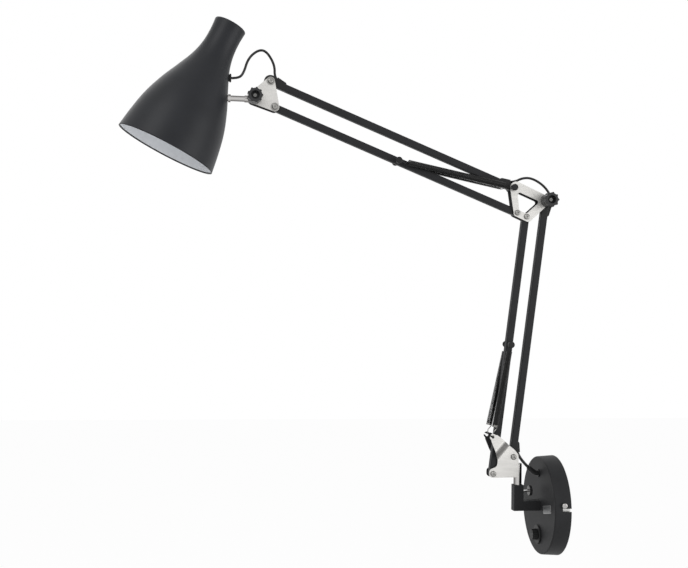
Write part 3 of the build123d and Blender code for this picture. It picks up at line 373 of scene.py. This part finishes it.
# ---------------------------------------------------------------- the shade
SHADE_CAP = Vector((0, -0.4766, 0.6728))
SHADE_TILT = radians(26.1)
DOWN = Vector((0, -sin(SHADE_TILT), -cos(SHADE_TILT)))
OUT = Vector((0, cos(SHADE_TILT), -sin(SHADE_TILT)))
SHADE_PROFILE = ((0.0, 23.2), (20.0, 22.2), (40.0, 23.5), (60.0, 28.4), (85.0, 38.9), (110.0, 50.2),
                 (140.0, 60.7), (170.0, 67.0), (197.3, 71.0))


def shade_point(s, r, turn=0.0):
    """A point s down the shade's axis and r from it, in millimetres, at an angle round the axis."""
    side = Vector((1, 0, 0))
    return SHADE_CAP + DOWN * (s * MM) + (OUT * cos(turn) + side * sin(turn)) * (r * MM)


def smooth_profile(points, per_span=14):
    """A monotone cubic through (s, r) points, so that the wall has no waves between them."""
    spans = list(zip(points, points[1:]))
    slopes = [(b[1] - a[1]) / (b[0] - a[0]) for a, b in spans]
    ends = [slopes[0]] + [(m + n) / 2 for m, n in zip(slopes, slopes[1:])] + [slopes[-1]]
    dense = []
    for (a, b), m0, m1 in zip(spans, ends, ends[1:]):
        width = b[0] - a[0]
        for step in range(per_span):
            u = step / per_span
            h00 = 2 * u**3 - 3 * u**2 + 1
            h10 = u**3 - 2 * u**2 + u
            h01 = -2 * u**3 + 3 * u**2
            h11 = u**3 - u**2
            dense.append((a[0] + width * u, h00 * a[1] + h10 * width * m0 + h01 * b[1] + h11 * width * m1))
    return dense + [points[-1]]


WALL = 1.2
CAP_EDGE = 2.5
CAP_FLAT_END = 4
RIM_SOFT = 0.15
INNER_CORNER = 1.5
TURNS = 128
cap_r = SHADE_PROFILE[0][1]
shade_length, mouth_r = SHADE_PROFILE[-1]
outer = [(0.0, 0.0), (0.0, cap_r - CAP_EDGE - CAP_FLAT_END)]
outer += [(CAP_EDGE * (1 - sin(a)), cap_r - CAP_EDGE * (1 - cos(a)))
          for a in (pi / 2, pi * 0.4, pi * 0.3, pi * 0.2, pi * 0.1, 0)]
outer += [p for p in smooth_profile(SHADE_PROFILE) if p[0] > CAP_EDGE + 1]
mouth_rim = [(shade_length, mouth_r - RIM_SOFT), (shade_length, mouth_r - WALL + RIM_SOFT)]
inner = [(s, r - WALL) for s, r in reversed(smooth_profile(SHADE_PROFILE)) if s > WALL + 0.5]
inner += [(WALL, cap_r - WALL - INNER_CORNER), (WALL, 0.0)]


def ring_faces(build, ring_a, ring_b):
    """The faces between two rings of as many points, where a ring may be one point all round."""
    around = len(ring_a)
    faces = []
    for k in range(around):
        corners = []
        for vertex in (ring_a[k], ring_b[k], ring_b[(k + 1) % around], ring_a[(k + 1) % around]):
            if vertex not in corners:
                corners.append(vertex)
        faces.append(build.faces.new(corners))
    return faces


def lathe(name, stations, look_of):
    """A mesh turned round the shade's axis, with the material index of each ring of faces given by look_of."""
    mesh = bpy.data.meshes.new(name)
    build = bmesh.new()
    rows = []
    for s, r in stations:
        if r < 0.01:
            rows.append([build.verts.new(shade_point(s, 0))] * TURNS)
        else:
            rows.append([build.verts.new(shade_point(s, r, 2 * pi * k / TURNS)) for k in range(TURNS)])
    for row, (ring_a, ring_b) in enumerate(zip(rows, rows[1:])):
        for face in ring_faces(build, ring_a, ring_b):
            face.material_index = look_of(row)
            face.smooth = True
    bmesh.ops.recalc_face_normals(build, faces=build.faces)
    build.to_mesh(mesh)
    build.free()
    return mesh


RIM_BAND_ROWS = 2
black_rows = len(outer) + len(mouth_rim) - 1 + RIM_BAND_ROWS
shade_mesh = lathe("shade_skin", outer + mouth_rim + inner, lambda row: 0 if row < black_rows else 1)
shade_skin = piece("shade_skin", shade_mesh, None, "head", smooth=False)
shade_mesh.materials.append(LOOKS["shade_paint"])
shade_mesh.materials.append(LOOKS["shade_inside"])
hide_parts("shade")


# ---------------------------------------------------------------- lower plates with a soft bend
LOWER_REAR = (-63.4, 70.5)
HOOK = (-97.0, 100.0)
PLATE_INNER = 5.8
SHEET = 1.5
JOGGLE_OUT = 8.45
JOGGLE = (17.0, 26.0)
SOFT_JOGGLE = (13.5, 29.5)
BEND_CUTS = 32
hook_way = Vector((0, HOOK[0] - LOWER_REAR[0], HOOK[1] - LOWER_REAR[1])).normalized()
joggle_origin = Vector((0, *LOWER_REAR)) * MM


def clamp(value):
    return min(max(value, 0.0), 1.0)


def soft_plate(node, side):
    """A copy of a lower plate whose two sharp folds become one soft S bend."""
    mesh = frame["nodes"][node].data.copy()
    mesh.materials.clear()
    build = bmesh.new()
    build.from_mesh(mesh)
    for cut in range(BEND_CUTS + 1):
        reach = SOFT_JOGGLE[0] + (SOFT_JOGGLE[1] - SOFT_JOGGLE[0]) * cut / BEND_CUTS
        bmesh.ops.bisect_plane(build, geom=build.verts[:] + build.edges[:] + build.faces[:],
                               plane_co=joggle_origin + hook_way * (reach * MM), plane_no=hook_way)
    for vertex in build.verts:
        reach = (vertex.co - joggle_origin).dot(hook_way) / MM
        height = abs(vertex.co.x) / MM
        sharp = PLATE_INNER + JOGGLE_OUT * clamp((reach - JOGGLE[0]) / (JOGGLE[1] - JOGGLE[0]))
        u = clamp((reach - SOFT_JOGGLE[0]) / (SOFT_JOGGLE[1] - SOFT_JOGGLE[0]))
        skin = SHEET if height > sharp + SHEET / 2 else 0.0
        vertex.co.x = side * MM * (PLATE_INNER + JOGGLE_OUT * u * u * (3 - 2 * u) + skin)
    build.to_mesh(mesh)
    build.free()
    plate = piece(f"{node}_soft", mesh, NODE_LOOKS[node], "swivel")
    mesh.set_sharp_from_angle(angle=radians(35))
    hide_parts(node)


soft_plate("lower_plate_near", 1)
soft_plate("lower_plate_far", -1)


# ---------------------------------------------------------------- cord loops
CORD_R = 1.75 * MM
BASE_CORD_R = 2.1 * MM
MID_REAR = (-17.3, 440.0)
MID_TOP = (-67.5, 457.5)
HEAD_TOP = (-420.5, 595.7)
HOOD_MOUTH = 7.5
HOOD_END = 22.0
CORD_RISE = 6.6
CORD_SINK = 0.8


def bar_frame(p, q, facing):
    """Origin, along and up vectors of a bar from p to q, as the CAD's bar plane has them."""
    ahead = Vector((0, q[0] - p[0], q[1] - p[1])).normalized()
    up = Vector((facing, 0, 0)).cross(ahead)
    return Vector((0, *p)), ahead, up


def hood_exit(p, q, facing, out=0.0):
    """The point on the cord's line at the hood's mouth, or this far out of it, in metres."""
    origin, ahead, up = bar_frame(p, q, facing)
    slope = Vector((HOOD_END - HOOD_MOUTH, CORD_SINK - CORD_RISE)).normalized()
    x = HOOD_MOUTH - slope.x * out
    y = CORD_RISE - slope.y * out
    return (origin + ahead * x + up * y) * MM


def mm_points(*pairs):
    """Points in the lamp's middle plane from (y, z) pairs in millimetres."""
    return [Vector((0, y, z)) * MM for y, z in pairs]


def split_line(points, low, high):
    """The stretch of a dense line between two shares of its number of points."""
    first = round(low * (len(points) - 1))
    last = round(high * (len(points) - 1))
    return points[first:last + 1]


def cord_parts(name, control, parts, nodes, radius=CORD_R):
    """One cord loop as tubes, one for each part.

    parts: (low, high, body a, body b, start, end), with low and high as shares of the loop; the bodies and the
    shares start and end are not used.
    """
    line = nurbs_line(name, control)
    for number, (low, high, a, b, start, end) in enumerate(parts):
        stretch = split_line(line, low, high)
        mesh = tube_mesh(f"{name}_{number}", stretch, radius, sides=16)
        part = piece(f"{name}_{number}", mesh, "cord")
        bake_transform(part)
        if number == 0:
            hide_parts(*nodes)


base_bend = hood_exit(LOWER_REAR, MID_REAR, -1, 10.0)
boot_corner = Vector((0, -29.5, 46.0)) * MM
boot_mouth = base_bend.lerp(boot_corner, 0.6)
cord_parts("base_cord", [hood_exit(LOWER_REAR, MID_REAR, -1, -1.0), base_bend, boot_mouth.lerp(boot_corner, 0.1)],
           [(0.0, 0.5, "lower_rear_bar", "swivel", 0.1, 0.95), (0.5, 1.0, "swivel", "wall_base", 0.05, 0.9)],
           ["base_cord_loop"], radius=BASE_CORD_R)
cord_parts("mid_cord", [hood_exit(MID_TOP, HEAD_TOP, -1, -1.0), hood_exit(MID_TOP, HEAD_TOP, -1, 8.0),
                        *mm_points((-52.0, 472.8), (-38.0, 473.0), (-21.0, 463.8), (-10.0, 450.5)),
                        hood_exit(MID_REAR, LOWER_REAR, 1, 9.0), hood_exit(MID_REAR, LOWER_REAR, 1, -1.0)],
           [(0.0, 0.5, "upper_top_bar", "mid_bracket", 0.12, 1.0),
            (0.5, 1.0, "mid_bracket", "lower_rear_bar", 0.0, 0.85)], ["mid_cord_loop"])
cord_parts("head_cord", [hood_exit(HEAD_TOP, MID_TOP, 1, -1.0), hood_exit(HEAD_TOP, MID_TOP, 1, 4.7),
                         *mm_points((-414.6, 619.8), (-426.3, 638.6), (-437.9, 639.8), (-451.9, 627.2),
                                    (-457.8, 606.0), (-465.1, 598.4), (-477.0, 598.4))],
           [(0.0, 0.16, "upper_top_bar", "head_bracket", 0.2, 1.0),
            (0.16, 0.66, "head_bracket", "head_joint", 0.0, 1.0),
            (0.66, 1.0, "head_joint", "head", 0.0, 0.9)], ["head_cord_loop"])


# ---------------------------------------------------------------- round end of the top bar at the head
EYE_R = 9.0
EYE_HALF_WIDTH = 4.9
SHOULDER_DROP = 0.35


def round_eye(name, centre, radius, half_width, body, round_off=1.2, sides=64):
    """A moulded disc square to X, with rounded rims."""
    mesh = bpy.data.meshes.new(name)
    build = bmesh.new()
    rows = []
    shoulder = half_width - round_off * 0.3
    for x, r in ((-half_width, 0), (-half_width, radius - round_off), (-shoulder, radius - SHOULDER_DROP),
                 (-half_width + round_off, radius), (half_width - round_off, radius),
                 (shoulder, radius - SHOULDER_DROP), (half_width, radius - round_off), (half_width, 0)):
        if r == 0:
            rows.append([build.verts.new((x * MM, centre[0] * MM, centre[1] * MM))] * sides)
            continue
        rows.append([build.verts.new((x * MM, (centre[0] + r * cos(2 * pi * k / sides)) * MM,
                                      (centre[1] + r * sin(2 * pi * k / sides)) * MM)) for k in range(sides)])
    for ring_a, ring_b in zip(rows, rows[1:]):
        ring_faces(build, ring_a, ring_b)
    bmesh.ops.recalc_face_normals(build, faces=build.faces)
    build.to_mesh(mesh)
    build.free()
    piece(name, mesh, "black_plastic", body)
    mesh.set_sharp_from_angle(angle=radians(50))


round_eye("head_end_eye", HEAD_TOP, EYE_R, EYE_HALF_WIDTH, "upper_top_bar")


# ---------------------------------------------------------------- blank plate on the canopy
def slab(name, low, high, look, body, tilt=0.0, round_off=0.15):
    """A box between two corners, in millimetres, with softened edges, tilted about its middle in X and Z."""
    mesh = bpy.data.meshes.new(name)
    build = bmesh.new()
    bmesh.ops.create_cube(build, size=1.0)
    low, high = Vector(low), Vector(high)
    for vertex in build.verts:
        vertex.co = [(lo + (hi - lo) * (c + 0.5)) * MM for lo, hi, c in zip(low, high, vertex.co)]
    middle = (low + high) * (0.5 * MM)
    bmesh.ops.rotate(build, verts=build.verts, cent=middle, matrix=Euler((0, -tilt, 0)).to_matrix())
    bmesh.ops.bevel(build, geom=build.edges, offset=round_off * MM, segments=2, affect="EDGES")
    build.to_mesh(mesh)
    build.free()
    return piece(name, mesh, look, body, smooth=False)


FACE_Y = -23.4
PLATE_TILT = radians(11.3)
slab("canopy_plate_border", (21.0, FACE_Y - 0.35, -5.6), (53.0, FACE_Y + 0.1, 5.6), "label_edge",
     "wall_base", PLATE_TILT)
slab("canopy_plate_field", (22.4, FACE_Y - 0.6, -4.6), (51.6, FACE_Y, 4.6), "label_grey",
     "wall_base", PLATE_TILT)


# ---------------------------------------------------------------- springs
def aim(start, end):
    """Along, out and across directions for a spring between two points."""
    ahead = (end - start).normalized()
    out_way = ahead.cross(Vector((1, 0, 0))).normalized()
    return ahead, out_way, ahead.cross(out_way)


def loop_line(centre, ahead, aside, radius, start_angle, end_angle, steps=22):
    """Part of a circle, from one angle in degrees to another."""
    turns = [radians(start_angle + (end_angle - start_angle) * k / steps) for k in range(steps + 1)]
    return [centre + ahead * (radius * cos(t)) + aside * (radius * sin(t)) for t in turns]


WIRE_R = 0.6
COIL_R = 3.8
PITCH = 1.32
PER_TURN = 18
WIRE_SIDES = 6
PIN_R = 2.0
PIN_PLAY = 0.2
PIN_LEAD = 5.0
HOOK_LOOP_R = 2.3
HOOK_LOOP_REACH = 3.4
HOOK_LEAD = 4.5
HOOK_X = 15.0
SPRING_X = 9.6


def close_spring(name, start, end, start_loop, end_loop, body, lead_share, stops, node,
                 start_look="spring_steel"):
    """A close-wound tension spring with a loop at each end, cut at the stops so that it stays near a straight line.

    stops: (share of the way, share of body b's turn there), where the second share is not used. lead_share: the
    start's share of the bare wire.
    """
    ahead, out_way, across = aim(start, end)
    reach = (end - start).length
    turns = int(body / PITCH)
    first = start_loop(start, ahead)
    coil_start = start + ahead * (lead_share * (reach - body))
    coil = []
    for k in range(turns * PER_TURN + 1):
        t = 2 * pi * k / PER_TURN
        coil.append(coil_start + ahead * (body * k / (turns * PER_TURN)) +
                    (out_way * cos(t) + across * sin(t)) * COIL_R)
    line = first + coil + list(reversed(end_loop(end, -ahead)))
    cuts = [0]
    for share, _ in stops[1:-1]:
        cuts.append(next(k for k in range(len(first) - 1, len(line))
                         if (line[k] - start).dot(ahead) >= share * reach))
    cuts.append(len(line) - 1)
    for number, ((low, low_turn), (high, high_turn)) in enumerate(zip(stops, stops[1:])):
        stretch = [p * MM for p in line[cuts[number]:cuts[number + 1] + 1]]
        look = start_look if number == 0 else "spring_steel"
        mesh = tube_mesh(f"{name}_{number}", stretch, WIRE_R * MM, WIRE_SIDES)
        spring = piece(f"{name}_{number}", mesh, look)
        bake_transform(spring)
        if number == len(stops) - 2:
            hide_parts(node)


def pin_loop(at, ahead):
    """The end loop round a cross pin."""
    radius = PIN_R + PIN_PLAY + WIRE_R
    aside = ahead.cross(Vector((1, 0, 0))).normalized()
    return loop_line(at, ahead, aside, radius, 60, 330) + [at + ahead * PIN_LEAD]


def hook_loop(side):
    """The maker of the open end loop in a plate's hook. side: +1 near, -1 far."""
    def loop(at, ahead):
        centre = at + ahead * HOOK_LOOP_REACH
        outward = (Vector((side, 0, 0)) - ahead * ahead.x * side).normalized()
        return loop_line(centre, ahead, outward, HOOK_LOOP_R, 120, 330) + [centre + ahead * HOOK_LEAD]
    return loop


LOWER_PIN = (-70.45, 231.35)
UPPER_PIN = (-237.8, 490.6)
LOWER_BODY = 109.0
LOWER_LEAD_SHARE = 0.574
LOWER_STOPS = [(0.03, 0.0), (0.127, 0.34), (0.3, 0.66), (0.6, 0.88), (1.0, 1.0)]
UPPER_BODY = 145.0
UPPER_LEAD_SHARE = 0.5
UPPER_STOPS = [(0.0, 0.0), (0.5, 0.03), (0.7, 0.08), (0.8, 0.13), (0.9, 0.25), (0.985, 1.0)]
for side_name, side in (("near", 1), ("far", -1)):
    close_spring(f"lower_coil_{side_name}", Vector((side * HOOK_X, *HOOK)), Vector((side * SPRING_X, *LOWER_PIN)),
                 hook_loop(side), pin_loop, LOWER_BODY, LOWER_LEAD_SHARE,
                 LOWER_STOPS, f"lower_spring_{side_name}", start_look="fasteners")
    close_spring(f"upper_coil_{side_name}", Vector((side * SPRING_X, *UPPER_PIN)),
                 Vector((side * SPRING_X, *MID_TOP)), pin_loop, pin_loop, UPPER_BODY, UPPER_LEAD_SHARE,
                 UPPER_STOPS, f"upper_spring_{side_name}")
